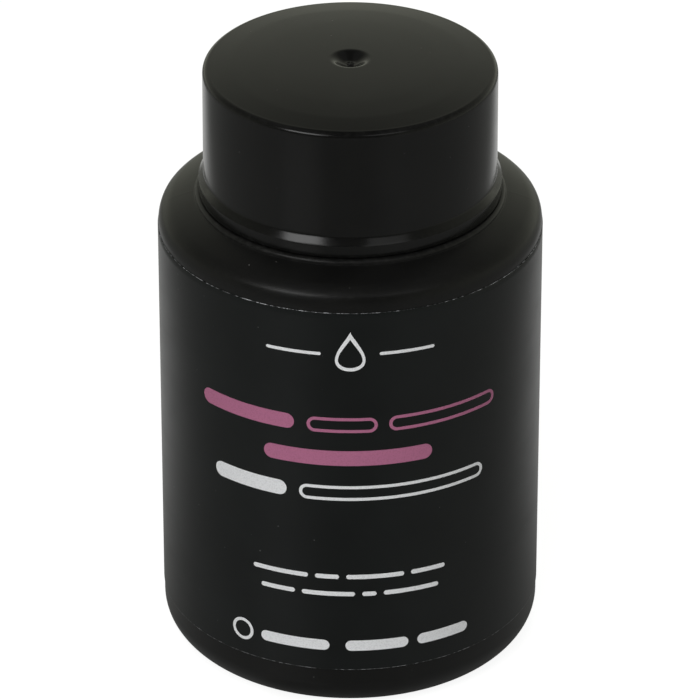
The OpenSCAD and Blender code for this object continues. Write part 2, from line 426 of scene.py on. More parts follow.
def ridgedArc(s, centreR, centreZ, radius, toDeg, steps):
    # a corner that bends tighter round one angle: local radius = a + b times angle less a bell,
    # with a and b such that it still starts and ends where the plain arc of that radius does;
    # it is walked in steps three times as fine as it is kept
    angle = np.radians(np.linspace(0, toDeg, steps * 4))
    step = angle[1]
    mid = (angle[1:] + angle[:-1]) / 2
    along = np.column_stack((-np.sin(mid), np.cos(mid))) * step
    bell = s["ridgeSharp"] * np.exp(-((np.degrees(mid) - s["ridgeAt"]) / s["ridgeWide"]) ** 2)
    whole = radius * np.array([math.cos(angle[-1]) - 1, math.sin(angle[-1])])
    a, b = np.linalg.solve(np.column_stack((along.sum(0), (mid[:, None] * along).sum(0))),
                           whole + (bell[:, None] * along).sum(0))
    walk = np.vstack(([[0, 0]], np.cumsum((a + b * mid - bell)[:, None] * along, axis=0)))
    thinned = np.vstack((walk[:-1:3], walk[-1:]))
    return thinned + (centreR + radius, centreZ)


def shoulderPath(s, inset, steps):
    # a corner off the wall, then a long arc that meets it smoothly and runs in to the ring;
    # the long arc's radius is what is left of the width, shared by the sines of its two slopes
    outer, inner = math.radians(s["outerSlope"]), math.radians(s["innerSlope"])
    meetDeg, endDeg = 90 - s["outerSlope"], 90 - s["innerSlope"]
    corner = s["shoulderCorner"]
    longR = bodyR - s["ringR"] - corner * (1 - math.sin(outer))
    longR /= math.sin(outer) - math.sin(inner)
    centreR = s["ringR"] - longR * math.sin(inner)
    centreZ = s["shoulderZ"] - longR * math.cos(inner)
    cornerZ = centreZ + (longR - corner) * math.cos(outer)
    if inset == 0:
        bend = ridgedArc(s, bodyR - corner, cornerZ, corner, meetDeg, steps)
    else:
        bend = arcPoints(bodyR - corner, cornerZ, corner - inset, 0, meetDeg, steps)
    return joinPath(bend, arcPoints(centreR, centreZ, longR - inset, meetDeg, endDeg, steps))


def jarPath(s):
    # from the middle of the base out and up to the rim, then down the inside to the middle of the floor
    standIn = bodyR - s["baseCorner"] - s["standWidth"]
    ringIn, ringTop = s["ringR"] - s["ringWide"], s["shoulderZ"] + s["ringHigh"]
    gateZ = s["pushUp"] - s["gateHigh"]
    outside = joinPath(
        [[0, gateZ]], cornerArc(s["gateR"], gateZ, s["gateRound"], -90, 0, 6),
        domePoints(standIn, 0, s["pushUp"], s["gateR"] + s["gateGap"], standIn - s["lipWide"]),
        arcPoints(standIn + s["lipIn"], s["lipHigh"], s["lipWide"], 200, 270, 8, s["lipHigh"]),
        cornerArc(bodyR, 0, s["baseCorner"], -90, 0, 28),
        shoulderPath(s, 0, 24)[:-1], [[s["ringR"] + r, s["shoulderZ"] + z] for r, z in s["ringFoot"]],
        cornerArc(s["ringR"], ringTop, s["ringRound"], 0, 90, 16),
        cornerArc(ringIn, ringTop, s["ringInRound"], 90, 180, 5), [[ringIn, s["shoulderZ"]]],
        cornerArc(s["neckR"], s["shoulderZ"], s["neckFoot"], -90, -180, 10),
        cornerArc(s["neckR"], rimZ, s["rimRound"], 0, 90, 10))
    underZ = s["shoulderZ"] - s["wall"] * math.cos(math.radians(s["innerSlope"]))
    inside = joinPath(
        cornerArc(s["boreR"], rimZ, s["rimRound"], 90, 180, 10),
        cornerArc(s["boreR"], underZ, s["boreFoot"], 180, 270, 10),
        shoulderPath(s, s["wall"], 14)[::-1],
        cornerArc(bodyR - s["wall"], s["floor"], s["baseCorner"] - s["wall"], 0, -90, 24),
        domePoints(standIn, s["floor"], s["pushUp"], standIn, 0))
    return finePath(outside, s["step"]), finePath(inside, s["step"] * coarser)


def jarRelief(r, z, a):
    # a fine parting line at both sides, and shallow notches across the ring that the jar stands on
    s = jarShape
    across = np.abs(np.sin(a)) * r
    outside = np.arange(len(r))[:, None] < jarOutside
    rising = np.clip((z - s["partingFromZ"]) / s["partingFade"], 0, 1)
    parting = s["partingHigh"] * np.exp(-(across / s["partingWide"]) ** 2) * outside * rising
    phase = (a * s["notches"] / (2 * math.pi)) % 1.0
    notch = np.clip(1 - np.abs(phase - 0.5) / s["notchWide"], 0, 1) ** 0.6
    notchR = bodyR - s["baseCorner"] - s["notchIn"]
    onStand = np.exp(-((r - notchR) / s["notchLong"]) ** 4) * (z < s["notchTop"])
    return parting - s["notchDeep"] * notch * onStand


jarPlastic = blackMoulding("jar plastic satin black", jarFinish)
outPath, inPath = jarPath(jarShape)
jarOutside = len(outPath) - 1
jarShell = turnedPiece("jar_shell", np.vstack((outPath, inPath)), jarPlastic,
                       evenAngles(jarShape["columns"], (0, 180)), jarRelief)
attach(jarShell, "jar")
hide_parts("jar")

# the two threads, on the neck and in the cap
threadShape = {
    "pitch": 3.175, "rootWide": 1.75, "crestWide": 0.85, "sunk": 0.25,
    "bevelAt": 0.82, "bevelOut": 0.08, "crestRound": 0.12,
    "stepsPerTurn": 96, "taperTurns": 0.16, "taperPower": 0.7, "endSunk": 0.05, "endHigh": 0.35, "edge": 0.6,
    "neckCrest": 16.3, "neckStartZ": 68.5, "neckStartDeg": 200, "neckTurns": 1.5,
    "capRoot": 16.55, "capCrest": 15.45, "capBelow": 1.34, "capBack": 0.7, "capTurns": 1.3,
}


def threadRidge(name, material, s, wallR, crestR, startZ, startDeg, turns):
    # a trapezoid carried along a helix: z rises one pitch a turn, and both ends taper into the wall;
    # it stands outwards where its crest lies outside the wall
    outwards = crestR > wallR
    depth = abs(crestR - wallR)
    t = np.linspace(0, 1, int(turns * s["stepsPerTurn"]) + 1)[:, None]
    a = np.radians(startDeg) + t * turns * 2 * math.pi
    taper = np.clip(np.minimum(t, 1 - t) * turns / s["taperTurns"], 0, 1)
    taper = np.sin(taper * math.pi / 2) ** s["taperPower"]
    root, crest = s["rootWide"] / 2, s["crestWide"] / 2
    half = np.array([[-s["sunk"], root], [0.0, root], [depth * s["bevelAt"], crest + s["bevelOut"]],
                     [depth, crest - s["crestRound"]]])
    out, high = np.vstack((half * (1, -1), half[::-1])).T
    rise = np.where(out > 0, out * taper - s["endSunk"] * (1 - taper), out)
    r = wallR + (1 if outwards else -1) * rise
    z = startZ + s["pitch"] * turns * t + high * (s["endHigh"] + (1 - s["endHigh"]) * taper)
    rows, columns = r.shape
    faces = gridFaces(rows, columns)
    faces.append(list(range(columns)))
    faces.append(list(range((rows - 1) * columns, rows * columns))[::-1])
    if outwards:
        faces = [f[::-1] for f in faces]
    values = np.clip(np.tile(out / depth, rows), 0, 1) * s["edge"]
    return meshPiece(name, roundPoints(r, a, z), faces, material, {"edge": values})


neckThread = threadRidge("neck_thread", jarPlastic, threadShape, jarShape["neckR"],
                         threadShape["neckCrest"], threadShape["neckStartZ"],
                         threadShape["neckStartDeg"], threadShape["neckTurns"])
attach(neckThread, "jar")
print("jar done:", len(jarShell.data.polygons), "faces")

# the cap: domed top with its gate dimple, wall, flanged foot, liner seat and bead
# its plastic is the jar's, but glossier and finer
capFinish = {
    **jarFinish, "ior": 1.46, "rough": 0.16, "smearRough": 0.07, "colourPale": (0.0040, 0.0040, 0.0038, 1),
    "wornColour": (0.020, 0.020, 0.019, 1), "dustColour": (0.15, 0.145, 0.14, 1),
    "scratches": 0.7, "dust": 0.2, "smears": 0.7, "wear": 0.3, "grain": 6500.0, "peel": 0.7, "relief": 0.16,
}
capShape = {
    "footDrop": 0.1, "wallFootR": 18.25, "edgeRound": 0.8, "edgeTurn": 84, "crown": 0.995, "topEdgeZ": 78.9,
    "seatRingIn": 14.6, "seatRingDrop": 0.063, "seatFromR": 3, "seatFade": 8,
    "flangeR": 18.85, "footRound": 0.08, "bandHigh": 1.5, "bandRound": 0.06, "slopeHigh": 0.9,
    "wallFoot": [(0.03, -0.03), (0, 0.04)], "draftDeg": 0.2,
    "innerR": 16.55, "mouthChamfer": 0.5, "linerSeat": 3.3, "linerTopZ": 77.15,
    "beadReach": 0.35, "beadHigh": 0.7, "beadFlat": 0.08,
    "dimpleR": 2.65, "dimpleDeep": 0.74, "gateR": 0.45, "gateHigh": 0.16,
    "gateGap": 0.06, "gateRound": 0.12, "gateHollow": 0.04, "tearHigh": 0.05, "tearWide": 0.5,
    "columns": 384, "step": 0.6,
}
capLow = nodeBox("cap")[0]


def capPath(s):
    # from the middle of the inner top down the inside, round the mouth, up the outside and in to the middle
    footZ, bandZ = capLow[2] - s["footDrop"], capLow[2] + s["bandHigh"]
    slopeZ = bandZ + s["slopeHigh"]
    topR = s["wallFootR"] - (s["topEdgeZ"] - slopeZ) * math.tan(math.radians(s["draftDeg"]))
    edgeInR = topR - s["edgeRound"]
    inR, seatR, beadR = s["innerR"], s["innerR"] - s["linerSeat"], s["innerR"] - s["beadReach"]
    beadZ = rimZ - s["beadHigh"] / 2
    inside = joinPath(
        domePoints(seatR, s["linerTopZ"], s["crown"], 0, seatR), [[inR, s["linerTopZ"]], [inR, rimZ]],
        [[beadR, beadZ + s["beadFlat"]], [beadR, beadZ - s["beadFlat"]]],
        [[inR, rimZ - s["beadHigh"]], [inR, footZ + s["mouthChamfer"]]])
    # the outer ring of the dome falls a little faster, over the seat of the liner
    ball = domePoints(edgeInR, s["topEdgeZ"], s["crown"], edgeInR, s["dimpleR"], 60)
    ringShare = np.clip((ball[:, 0] - s["seatRingIn"]) / (edgeInR - s["seatRingIn"]), 0, 1)
    outShare = np.clip((ball[:, 0] - s["seatFromR"]) / s["seatFade"], 0, 1)
    ball[:, 1] += s["seatRingDrop"] * (1 - ringShare) * outShare
    # the dimple falls by half its depth times (1 - cos) from its soft rim to the gate mark
    k = np.linspace(0, 1, 30)
    pitR = s["dimpleR"] - k * (s["dimpleR"] - s["gateR"] - s["gateGap"])
    pitZ = ball[-1, 1] - s["dimpleDeep"] * (1 - np.cos(math.pi * k)) / 2
    gateZ = ball[-1, 1] - s["dimpleDeep"] + s["gateHigh"]
    outside = joinPath(
        [[inR + s["mouthChamfer"], footZ]], cornerArc(s["flangeR"], footZ, s["footRound"], -90, 0, 5),
        cornerArc(s["flangeR"], bandZ, s["bandRound"], 0, 50, 5),
        [[s["wallFootR"] + r, slopeZ + z] for r, z in s["wallFoot"]],
        cornerArc(topR, s["topEdgeZ"], s["edgeRound"], 0, s["edgeTurn"], 16),
        ball, np.column_stack((pitR, pitZ))[1:],
        cornerArc(s["gateR"], gateZ, s["gateRound"], 0, 90, 5), [[0, gateZ - s["gateHollow"]]])
    return finePath(inside, s["step"] * coarser), finePath(outside, s["step"])


def capRelief(r, z, a):
    # the gate mark is torn off a little uneven: three low waves round it that die out by a bell
    nub = capShape["tearHigh"] * np.sin(3 * a + 0.6) * np.exp(-(r / capShape["tearWide"]) ** 2)
    return nub * (np.arange(len(r))[:, None] > capInside)


capPlastic = blackMoulding("cap plastic glossy black", capFinish)
inPath, outPath = capPath(capShape)
capInside = len(inPath) - 1
capShell = turnedPiece("cap_shell", np.vstack((inPath, outPath)), capPlastic,
                       evenAngles(capShape["columns"]), capRelief, spread=0.3)
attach(capShell, "cap")
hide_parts("cap")

# the cap's thread starts part of a turn before the neck's, and so much lower
capStartZ = threadShape["neckStartZ"] - threadShape["capBelow"]
capStartZ -= threadShape["capBack"] * threadShape["pitch"]
capStartDeg = threadShape["neckStartDeg"] - threadShape["capBack"] * 360
capThread = threadRidge("cap_thread", capPlastic, threadShape, threadShape["capRoot"],
                        threadShape["capCrest"], capStartZ, capStartDeg, threadShape["capTurns"])
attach(capThread, "cap")
print("cap done:", len(capShell.data.polygons), "faces")

# the liner: a foamed disc with the rim pressed into it
linerShape = {
    "edgeRound": 0.15, "printR": 14.2, "printWide": 1.1, "printDeep": 0.12,
    "columns": 192, "step": 0.35,
}
linerFinish = {
    "colour": (0.70, 0.70, 0.66, 1), "colourPale": (0.82, 0.82, 0.79, 1), "cloudScale": 240.0,
    "rough": 0.42, "ior": 1.45, "cellScale": 2600.0, "cellHigh": 0.7,
    "grain": 1800.0, "peel": 1.2, "relief": 0.5, "reliefDeep": 0.00006,
}
linerLow, linerHigh = nodeBox("cap_liner")


def linerPath(s):
    # a flat disc with rounded edges, its underside pressed in by the rim: depth times exp(-(x / width)^4)
    outR, lowZ, highZ = (linerHigh[0] - linerLow[0]) / 2, linerLow[2], linerHigh[2]
    under = levelLine(np.linspace(0, outR - s["edgeRound"], 80), lowZ)
    under[:, 1] += s["printDeep"] * np.exp(-((under[:, 0] - s["printR"]) / s["printWide"]) ** 4)
    return joinPath(under, cornerArc(outR, lowZ, s["edgeRound"], -90, 0, 6),
                    cornerArc(outR, highZ, s["edgeRound"], 0, 90, 6), [[0, highZ]])


def linerMaterial(name, finish):
    # white foam: a cloudy colour, and small cells that stand in the grain
    material, tree, shader, place = newMaterial(name, IOR=finish["ior"], Roughness=finish["rough"])
    cloudy = softStep(tree, noiseAt(tree, place, finish["cloudScale"], 3.0), 0.35, 0.65)
    colour = mixColour(tree, cloudy, finish["colour"], finish["colourPale"])
    feedAll(tree, shader, {"Base Color": colour})
    cells = addNode(tree, "ShaderNodeTexVoronoi", {"Vector": place, "Scale": finish["cellScale"]})
    cells = times(tree, cells.outputs["Distance"], finish["cellHigh"])
    height = plus(tree, cells, grainHeight(tree, place, finish))
    addRelief(tree, shader, height, finish["relief"], finish["reliefDeep"])
    return material


linerDisc = turnedPiece("liner_disc", finePath(linerPath(linerShape), linerShape["step"]),
                        linerMaterial("liner foam white", linerFinish), evenAngles(linerShape["columns"]))
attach(linerDisc, "liner")
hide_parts("cap_liner")
print("liner done")

# the label: a thin film, pale where it is cut, with a painted highlight on its top cut edge at the front
# left
labelShape = {
    "film": 0.065, "cutBevel": 0.035, "cutLean": 0.8, "paleRim": 0.06, "seamWide": 1.2,
    # the rim's brighter bell is a painted highlight on the top cut edge, on the key lamp's side
    "rimFaint": 0.62, "rimPaintedHighlight": 1.1, "rimPaintedHighlightDeg": -21.0, "rimPaintedHighlightWide": 13.0,
    "footFaint": 1.24, "footRowFaint": 0.93, "seamFaint": 0.5,
    "inkRoom": 0.015, "columns": 400, "rows": 60,
}
labelFinish = {
    "colour": (0.0040, 0.0049, 0.0049, 1), "colourPale": (0.0055, 0.0067, 0.0067, 1), "mottleScale": 120.0,
    "paper": (0.62, 0.63, 0.65, 1), "paperRough": 0.4, "dustColour": (0.2, 0.2, 0.2, 1),
    "ior": 1.45, "rough": 0.36, "smearRough": 0.06,
    "scratches": 0.5, "dust": 0.5, "smears": 0.6,
    "grain": 7000.0, "peel": 1.0, "relief": 0.14,
}
labelLow, labelHigh = nodeBox("label")
labelR = (labelHigh[0] - labelLow[0]) / 2
filmR = labelR - labelShape["inkRoom"]  # the ink stands on the film and ends at the CAD label's radius


def labelFilmPiece(s, material):
    # a flat loop of film section carried round the wall, from one side of the back gap to the other
    gap = s["seamWide"] / 2 / labelR
    a = math.pi / 2 + np.linspace(gap, 2 * math.pi - gap, s["columns"])
    inR, cutR = filmR - s["film"], filmR - s["cutBevel"] * s["cutLean"]
    low, high = labelLow[2] + s["cutBevel"], labelHigh[2] - s["cutBevel"]
    up = np.r_[low, np.linspace(low + s["paleRim"], high, s["rows"])]
    loop = np.vstack((levelLine(filmR, up), [[cutR, labelHigh[2]], [inR, labelHigh[2]]],
                      levelLine(inR, up[::-1]), [[inR, labelLow[2]], [cutR, labelLow[2]]]))
    rows, columns = len(loop), len(a)
    points = roundPoints(loop[:, :1], a, loop[:, 1:])
    faces = gridFaces(rows, columns, closeRows=True, closeColumns=False)
    faces.append([i * columns for i in range(rows)][::-1])
    faces.append([i * columns + columns - 1 for i in range(rows)])
    # how pale the cut shows: faint all round, and along the top a painted highlight by a bell at the front
    # left, on the key lamp's side
    bell = np.exp(-((np.degrees(a) - 270 - s["rimPaintedHighlightDeg"]) / s["rimPaintedHighlightWide"]) ** 2)
    cut = np.zeros((rows, columns))
    cut[len(up):len(up) + 2] = s["rimFaint"] + s["rimPaintedHighlight"] * bell
    cut[-2:] = s["footFaint"]
    cut[0] = s["footRowFaint"]
    cut[:, [0, -1]] = s["seamFaint"]
    return meshPiece("label_film", points, faces, material, {"cutEdgeAndHighlight": cut}, sharpDeg=50)


def labelMaterial(name, finish):
    # satin film: dust lies on it, pale fibres show where it is cut, and a painted highlight lies on the top
    # cut edge
    material, tree, shader, place = newMaterial(name, IOR=finish["ior"])
    marks, colour, rough = blackBase(tree, place, finish)
    fibresAndHighlight = wearMask(tree, place, "cutEdgeAndHighlight", 1.0)
    colour = mixColour(tree, marks["Dust"], colour, finish["dustColour"])
    colour = mixColour(tree, fibresAndHighlight, colour, finish["paper"])
    rough = plus(tree, rough, times(tree, fibresAndHighlight, finish["paperRough"]))
    feedAll(tree, shader, {"Base Color": colour, "Roughness": rough})
    height = calc(tree, "SUBTRACT", grainHeight(tree, place, finish), marks["Scratch"])
    addRelief(tree, shader, height, finish["relief"])
    return material


labelFilm = labelFilmPiece(labelShape, labelMaterial("label film satin black", labelFinish))
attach(labelFilm, "jar")
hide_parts("label")

# the print, plain marks in place of words: a drop between two rules, and bars, solid or in outline
inkShape = {"sunk": 0.03, "outline": 0.42, "step": 0.4}
inkFinish = {
    "white": (0.86, 0.87, 0.885, 1), "pink": (0.46, 0.158, 0.275, 1), "rough": 0.45, "ior": 1.45,
    "screenScale": 5200.0, "screenFrom": (0.25, 0.6), "screenLeast": 0.86, "smears": 0.6, "smearRough": 0.08,
    "grain": 6000.0, "peel": 0.5, "relief": 0.15,
}


def inkMaterial(name, colour, finish):
    # screen-printed ink: a little thinner by a fine noise, rougher where it is smeared
    material, tree, shader, place = newMaterial(name, IOR=finish["ior"])
    screen = noiseAt(tree, place, finish["screenScale"])
    screen = softStep(tree, screen, *finish["screenFrom"], finish["screenLeast"], 1.0)
    colour = mixColour(tree, 1.0, colour, screen, "MULTIPLY")
    smear = useGroup(tree, handling, place, Smears=finish["smears"])["Smear"]
    rough = plus(tree, finish["rough"], times(tree, smear, finish["smearRough"]))
    feedAll(tree, shader, {"Base Color": colour, "Roughness": rough})
    addRelief(tree, shader, grainHeight(tree, place, finish), finish["relief"])
    return material


def ribbon(centre, halfWidth, closed):
    # left and right edge of a stroke: the centre line plus and minus the half width along its normal
    if closed:
        t = np.roll(centre, -1, axis=0) - np.roll(centre, 1, axis=0)
    else:
        t = np.gradient(centre, axis=0)
    t /= np.maximum(np.hypot(t[:, 0], t[:, 1]), 1e-9)[:, None]
    n = np.column_stack((-t[:, 1], t[:, 0])) * np.asarray(halfWidth).reshape(-1, 1)
    return centre + n, centre - n


def barStroke(fromU, toU, z, high):
    # a bar with half-round ends: half width is the square root of h^2 - (h - distance to the end)^2
    h, step = high / 2, inkShape["step"]
    ends = h * (1 - np.cos(np.linspace(0, math.pi / 2, 9)))
    u = np.r_[fromU + ends, np.arange(fromU + h + step, toU - h, step), toU - ends[::-1]]
    near = np.clip(np.minimum(u - fromU, toU - u), 0, h)
    half = np.sqrt(np.maximum(h ** 2 - (h - near) ** 2, 1e-6))
    return ribbon(levelLine(u, z), half, False), False


def outlineStroke(fromU, toU, z, high):
    # the centre line of a bar's outline, half a stroke inside it, followed once round
    h, step = (high - inkShape["outline"]) / 2, inkShape["step"]
    left, right = fromU + high / 2, toU - high / 2
    flat = np.arange(left + step, right, step)
    path = np.vstack((levelLine(flat, z - h), arcPoints(right, z, h, -90, 90, 17),
                      levelLine(flat[::-1], z + h), arcPoints(left, z, h, 90, 270, 17)))
    return ribbon(path, inkShape["outline"] / 2, True), True


def ringStroke(u, z, radius, stroke):
    # a circle once round
    return ribbon(arcPoints(u, z, radius, 0, 360, 49)[:-1], stroke / 2, True), True


def dropStroke(u, z, wide, high, stroke):
    # teardrop: across is sin t times sin(t / 2) to the 1.6, up is cos t, with its point at the top;
    # the inner outline is the same curve made smaller, a stroke above the outer one's foot
    t = np.linspace(0, 2 * math.pi, 73)[:-1]
    unit = np.column_stack((np.sin(t) * np.abs(np.sin(t / 2)) ** 1.6, np.cos(t)))
    innerHigh = high - stroke * 3.2
    outer = (u, z) + unit * (wide / 2, high / 2)
    inner = (u, z - high / 2 + stroke + innerHigh / 2) + unit * (wide / 2 - stroke * 1.15, innerHigh / 2)
    return (outer, inner), True


def inkPiece(name, strokes, material):
    # each stroke is wrapped on the wall, angle = u / radius from the front, and given a thin back
    points, faces = [], []
    for (left, right), closed in strokes:
        n = len(left)
        first = sum(len(p) for p in points)
        flat = np.stack((left, right, right, left), 1).reshape(-1, 2)
        r = np.tile([labelR, labelR, labelR - inkShape["sunk"], labelR - inkShape["sunk"]], n)
        a = flat[:, 0] / labelR - math.pi / 2
        points.append(roundPoints(r, a, flat[:, 1]))
        faces += gridFaces(n, 4, closeRows=closed, first=first)
        if not closed:
            faces.append([first + k for k in (3, 2, 1, 0)])
            faces.append([first + (n - 1) * 4 + k for k in (0, 1, 2, 3)])
    return meshPiece(name, np.vstack(points), faces, material, {}, sharpDeg=50)


def barRow(z, high, *spans):
    # solid bars side by side, each from one place to another
    return [barStroke(fromU, toU, z, high) for fromU, toU in spans]


barTall, ruleTall, fineTall, footTall = 2.1, 0.42, 0.62, 1.5
whiteStrokes = [
    dropStroke(0, 52.1, 5.4, 5.5, 0.46), *barRow(51.7, ruleTall, (-10.6, -3.6), (3.6, 10.6)),
    *barRow(32.0, barTall, (-18.4, -8.0)), outlineStroke(-6.4, 18.0, 32.0, barTall),
    *barRow(19.9, fineTall, (-12.6, -5.3), (-4.4, -1.4), (-0.5, 6.8), (7.7, 12.3)),
    *barRow(17.4, fineTall, (-11.5, -7.0), (-6.1, 0.6), (1.5, 3.3), (4.2, 11.4)),
    ringStroke(-14.3, 9.8, 1.35, 0.42), *barRow(9.8, footTall, (-11.6, -2.6), (-0.6, 7.4), (8.6, 15.8)),
]
pinkStrokes = [
    *barRow(41.7, barTall, (-20.4, -7.0)), outlineStroke(-5.4, 3.4, 41.7, barTall),
    outlineStroke(4.8, 19.9, 41.7, barTall), *barRow(37.0, barTall, (-11.0, 10.4)),
]
inkWhite = inkPiece("ink_white", whiteStrokes, inkMaterial("ink white", inkFinish["white"], inkFinish))
inkPink = inkPiece("ink_pink", pinkStrokes, inkMaterial("ink pink", inkFinish["pink"], inkFinish))
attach(inkWhite, "jar")
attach(inkPink, "jar")
print("label and print done")

# the foam plug: pores, finger well and slits
foamShape = {
    "edgeRound": 2.5, "footRound": 2.6, "wellR": 7.5, "wellFootZ": 19.64, "wellMouth": 1.5, "wellFoot": 4.0,
    "slits": 4, "slitEndR": 17.0, "slitWide": 0.7, "slitSteps": 7, "columns": 300, "step": 0.55,
    "poreCell": 1.25, "poreDeep": 0.42, "poreWide": 0.52, "poreSeed": 11,
    "fineCell": 0.6, "fineDeep": 0.16, "fineWide": 0.6, "fineSeed": 12, "poreShadeGain": 1.3,
}
foamFinish = {
    # pit is the colour of the painted shade in the pores, and of the damp places
    "colour": (0.80, 0.74, 0.64, 1), "pit": (0.36, 0.31, 0.25, 1), "dampScale": 90.0, "damp": 0.35,
    "rough": 0.93, "ior": 1.4, "strutScale": 3200.0, "strutHigh": 0.25, "relief": 0.7, "reliefDeep": 0.0001,
}
foamLow, foamHigh = nodeBox("sponge")
foamR = (foamHigh[0] - foamLow[0]) / 2


def poreDistance(points, cell, seed):
    # Worley cells: the distance, in cells, to the nearest of one seeded point per cube
    size = 32  # the pattern repeats after so many cells
    table = np.random.default_rng(seed).random((size, size, size, 3))
    at = points / cell
    base = np.floor(at).astype(int)
    best = np.full(len(points), 9.0)
    for near in np.ndindex(3, 3, 3):
        cube = base + near - 1
        spot = cube + table[cube[:, 0] % size, cube[:, 1] % size, cube[:, 2] % size]
        best = np.minimum(best, ((at - spot) ** 2).sum(1))
    return np.sqrt(best)


def foamPath(s):
    # from the middle of the foot out, up the side, over the top and down into the finger well
    low, high = foamLow[2], foamHigh[2]
    return joinPath(
        [[0, low]], cornerArc(foamR, low, s["footRound"], -90, 0, 10),
        cornerArc(foamR, high, s["edgeRound"], 0, 90, 12),
        cornerArc(s["wellR"], high, s["wellMouth"], 90, 180, 9),
        cornerArc(s["wellR"], s["wellFootZ"], s["wellFoot"], 0, -90, 10), [[0, s["wellFootZ"]]])


def foamPiece(s, material):
    # the same turned grid, but columns beside a slit keep a fixed distance from its middle plane,
    # and between them the well reaches out to the slit's end; pores press the surface inwards
    path = finePath(foamPath(s), s["step"])
    r0, z0 = path[1:-1, 0], path[1:-1, 1]
    half, share = math.pi / s["slits"], s["slitWide"] / 2
    even = np.linspace(0, half, s["columns"] // (2 * s["slits"]) + 1)[1:]
    side = np.linspace(0, 1, s["slitSteps"])
    # per column: signed place across the slit (-1 to 1), how deep in the slit, and angle beyond it
    inSlit = np.r_[-np.ones(s["slitSteps"]), 0.0, np.ones(s["slitSteps"])]
    depth = np.r_[side, 1.0, side[::-1]]
    across = np.r_[-np.ones(len(even) - 1), inSlit, np.ones(len(even))]
    reach = np.r_[np.zeros(len(even) - 1), depth, np.zeros(len(even))]
    beyond = np.r_[-even[:-1][::-1], np.zeros(len(inSlit)), even]
    across, reach, beyond = (np.tile(v, s["slits"]) for v in (across, reach, beyond))
    centre = np.repeat(np.arange(s["slits"]) * 2 * half, len(across) // s["slits"])
    wide = (foamR - s["edgeRound"] - s["slitEndR"]) / (foamR - s["edgeRound"] - s["wellR"])
    inTop = np.arange(len(r0)) > np.argmax(z0 > foamHigh[2] - 1e-6)
    slitR = np.where(inTop & (r0 >= s["wellR"]), s["slitEndR"] + (r0 - s["wellR"]) * wide, r0)
    slitR = np.where(inTop & (r0 < s["wellR"]) & (z0 < s["wellFootZ"] + s["wellFoot"] + 1),
                     r0 * s["slitEndR"] / s["wellR"], slitR)
    r = r0[:, None] + (slitR - r0)[:, None] * reach[None, :]
    # half the slit's angle, which narrows near the axis so that its sine stays under 0.07
    edge = np.arcsin(np.minimum(share / np.maximum(r, 1e-6), 0.07))
    a = centre + np.where(beyond[None, :] == 0, across * edge,
                          np.sign(beyond) * (edge + np.abs(beyond) * (half - edge) / half))
    flat = roundPoints(r, a, z0[:, None])
    big = np.clip(1 - poreDistance(flat, s["poreCell"], s["poreSeed"]) / s["poreWide"], 0, 1)
    small = np.clip(1 - poreDistance(flat, s["fineCell"], s["fineSeed"]) / s["fineWide"], 0, 1)
    deep = s["poreDeep"] * big ** 0.6 + s["fineDeep"] * small
    # painted shade: the deeper a pore, the darker its colour is painted
    poreShade = np.r_[np.clip(deep / (s["poreDeep"] + s["fineDeep"]) * s["poreShadeGain"], 0, 1), 0.0, 0.0]
    return closedPiece("foam_plug", path, r, a, z0[:, None], -deep.reshape(r.shape), material,
                       {"pit": poreShade}, sharpDeg=180)


def foamMaterial(name, finish):
    # open foam: painted shade darkens its pits, it is darker where it is damp, with a net of fine struts
    material, tree, shader, place = newMaterial(name, IOR=finish["ior"], Roughness=finish["rough"])
    pit = addNode(tree, "ShaderNodeAttribute", {}, attribute_name="pit").outputs["Fac"]
    damp = softStep(tree, noiseAt(tree, place, finish["dampScale"], 3.0), 0.35, 0.7, 0.0, finish["damp"])
    colour = mixColour(tree, pit, finish["colour"], finish["pit"])
    feedAll(tree, shader, {"Base Color": mixColour(tree, damp, colour, finish["pit"])})
    net = {"Vector": place, "Scale": finish["strutScale"]}
    struts = addNode(tree, "ShaderNodeTexVoronoi", net, feature="DISTANCE_TO_EDGE").outputs["Distance"]
    height = calc(tree, "MINIMUM", struts, finish["strutHigh"])
    addRelief(tree, shader, height, finish["relief"], finish["reliefDeep"], invert=True)
    return material


foamPlug = foamPiece(foamShape, foamMaterial("foam off-white", foamFinish))
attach(foamPlug, "jar")
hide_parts("sponge")
print("foam done:", len(foamPlug.data.polygons), "faces")

# the studio: floor, sky, lamps and camera
studio = {
    "floorSize": 12.0, "floorRough": 0.2, "floorWhite": 0.90,
    # the floor's side tones and the glow behind the jar are painted light, seen in the jar's reflections
    "floorMiddle": (0.152, 0.154, 0.148, 1),
    "floorLeft": (0.215, 0.218, 0.214, 1), "floorRight": (0.222, 0.225, 0.221, 1),
    # from which sine of the direction to which one the floor takes its side tones
    "leftFrom": (-0.40, -0.56), "rightFrom": (0.12, 0.60),
    "glossyLeast": 0.05, "glossyMost": 0.60, "poolHalf": (0.055, 0.125), "poolDeep": (-0.03, 0.08),
    # brightness by the sine of the height, then how much is left towards the front, sides and right
    "skyBySine": [(0.0, 0.74), (0.29, 0.40), (0.50, 0.32), (0.67, 0.205), (0.82, 0.075), (1.0, 0.045)],
    "skyTint": (1.0, 1.02, 0.85), "skyWhite": 0.015,
    "skyFront": 0.06, "frontFrom": (-0.7, 0.0), "skySide": 0.38, "backFrom": (0.28, 0.90),
    "skyRight": 0.24, "skyRightFrom": (0.3, 0.65),
    "skyAloft": 0.07, "aloftBeside": (0.08, 0.28), "aloftFrom": (0.72, 0.84),
}
